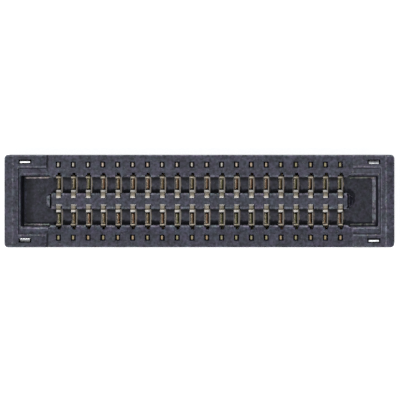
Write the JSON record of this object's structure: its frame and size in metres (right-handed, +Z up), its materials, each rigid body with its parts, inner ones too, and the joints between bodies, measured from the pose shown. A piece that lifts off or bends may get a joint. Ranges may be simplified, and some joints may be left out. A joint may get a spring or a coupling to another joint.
{
  "type": "board-to-board connector receptacle",
  "caption": "Low-profile black receptacle for a flexible-circuit plug: a walled moulding with a centre island, two rows of gold fork contacts and soldered hold-down straps at both ends.",
  "frame": {"origin": "centre of the connector on the face of the circuit board that it is soldered to, at the lowest point of the tails and straps", "axes": "+X along the contact rows, +Y across them towards the rear row, +Z up out of the board towards the plug"},
  "size_m": [0.0104, 0.0024, 0.001],
  "materials": {
    "housing_plastic": "matt black glass-filled moulding",
    "gold_contact": "gold-plated spring alloy",
    "tinned_strap": "tin-plated, satin"
  },
  "bodies": {
    "root": {"housing": "housing_plastic", "solder_strap_left": "tinned_strap", "solder_strap_right": "tinned_strap", "contact_rear_01": "gold_contact", "contact_rear_02": "gold_contact", "contact_rear_03": "gold_contact", "contact_rear_04": "gold_contact", "contact_rear_05": "gold_contact", "contact_rear_06": "gold_contact", "contact_rear_07": "gold_contact", "contact_rear_08": "gold_contact", "contact_rear_09": "gold_contact", "contact_rear_10": "gold_contact", "contact_rear_11": "gold_contact", "contact_rear_12": "gold_contact", "contact_rear_13": "gold_contact", "contact_rear_14": "gold_contact", "contact_rear_15": "gold_contact", "contact_rear_16": "gold_contact", "contact_rear_17": "gold_contact", "contact_rear_18": "gold_contact", "contact_rear_19": "gold_contact", "contact_rear_20": "gold_contact", "contact_front_01": "gold_contact", "contact_front_02": "gold_contact", "contact_front_03": "gold_contact", "contact_front_04": "gold_contact", "contact_front_05": "gold_contact", "contact_front_06": "gold_contact", "contact_front_07": "gold_contact", "contact_front_08": "gold_contact", "contact_front_09": "gold_contact", "contact_front_10": "gold_contact", "contact_front_11": "gold_contact", "contact_front_12": "gold_contact", "contact_front_13": "gold_contact", "contact_front_14": "gold_contact", "contact_front_15": "gold_contact", "contact_front_16": "gold_contact", "contact_front_17": "gold_contact", "contact_front_18": "gold_contact", "contact_front_19": "gold_contact", "contact_front_20": "gold_contact"}
  },
  "joints": []
}
